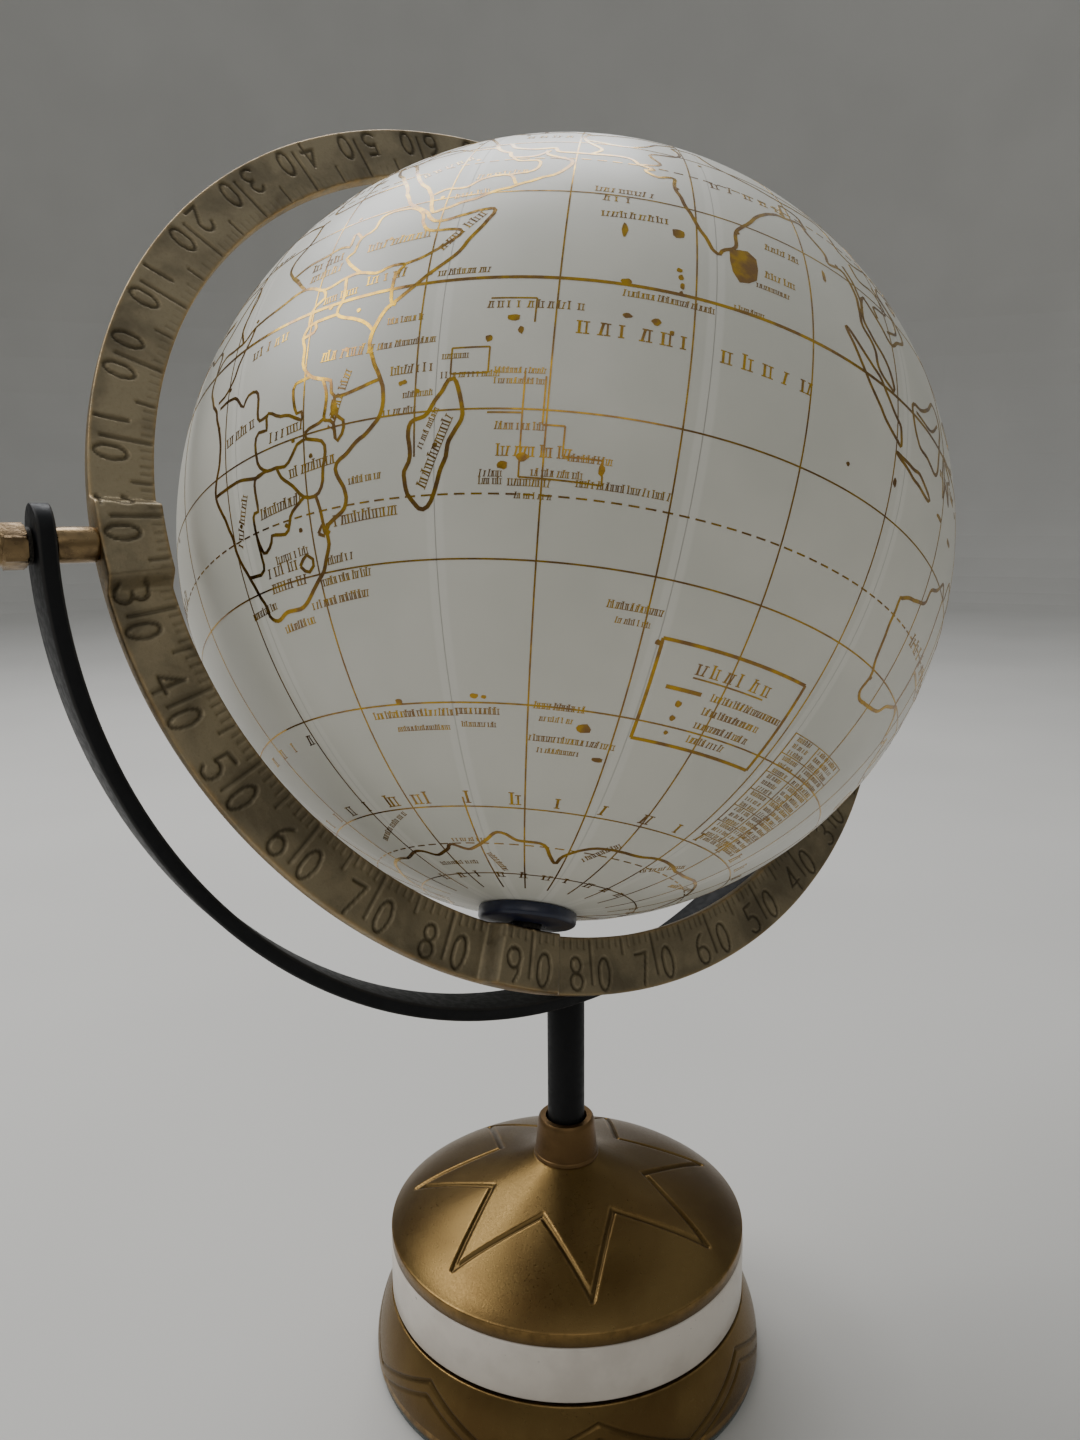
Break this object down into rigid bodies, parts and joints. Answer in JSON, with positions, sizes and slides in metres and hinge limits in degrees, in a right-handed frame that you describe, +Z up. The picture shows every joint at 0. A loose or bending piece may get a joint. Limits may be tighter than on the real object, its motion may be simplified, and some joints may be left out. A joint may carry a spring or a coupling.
{
  "type": "desktop globe on stand",
  "caption": "Lacquered desktop globe spinning on a pole rod inside a graduated brass meridian ring that tips in a black half-ring yoke on a round stepped base.",
  "frame": {"origin": "centre of the felt pad's underside, on the post's axis", "axes": "+Z up the post, +X along the ring's pivots, the globe's front faces -Y"},
  "size_m": [0.3682, 0.2539, 0.458],
  "materials": {
    "felt": "felt",
    "antique_brass": "antique lacquered casting",
    "collar_brass": "antique, turned",
    "ring_brass": "aged, hand stamped",
    "fitting_brass": "aged, cast",
    "white_enamel": "white enamel paint",
    "black_iron": "satin black",
    "steel": "zinc plated",
    "shell_plastic": "moulded",
    "pearl_gore": "gloss lacquer over print with gold foil lines",
    "navy_cap": "satin"
  },
  "bodies": {
    "root": {"felt_pad": "felt", "base_skirt": "antique_brass", "white_disc": "white_enamel", "base_dome": "antique_brass", "collar": "collar_brass", "post": "black_iron", "tie_rod": "steel", "base_washer": "steel", "base_nut": "steel", "yoke": "black_iron", "yoke_washer": "steel", "yoke_cap_nut": "black_iron"},
    "ring": {"meridian_ring": "ring_brass", "pivot_studs": "steel", "pivot_spacers": "fitting_brass", "pivot_washers": "black_iron", "pivot_nuts": "fitting_brass", "pole_rod": "steel", "thrust_washer": "steel", "north_spacer": "fitting_brass"},
    "globe": {"shell_north": "shell_plastic", "shell_south": "shell_plastic", "equator_band": "shell_plastic", "bush_north": "steel", "bush_south": "steel", "cap_north": "navy_cap", "cap_south": "navy_cap", "gore_1": "pearl_gore", "gore_2": "pearl_gore", "gore_3": "pearl_gore", "gore_4": "pearl_gore", "gore_5": "pearl_gore", "gore_6": "pearl_gore", "gore_7": "pearl_gore", "gore_8": "pearl_gore", "gore_9": "pearl_gore", "gore_10": "pearl_gore", "gore_11": "pearl_gore", "gore_12": "pearl_gore"}
  },
  "joints": [
    {"name": "ring_tip", "type": "hinge", "parent": "root", "child": "ring", "pos_m": [0, 0, 0.315], "axis": [1, 0, 0], "continuous": true},
    {"name": "globe_spin", "type": "hinge", "parent": "ring", "child": "globe", "pos_m": [0, 0, 0.315], "axis": [0.3811, 0.3657, 0.8491], "continuous": true}
  ]
}
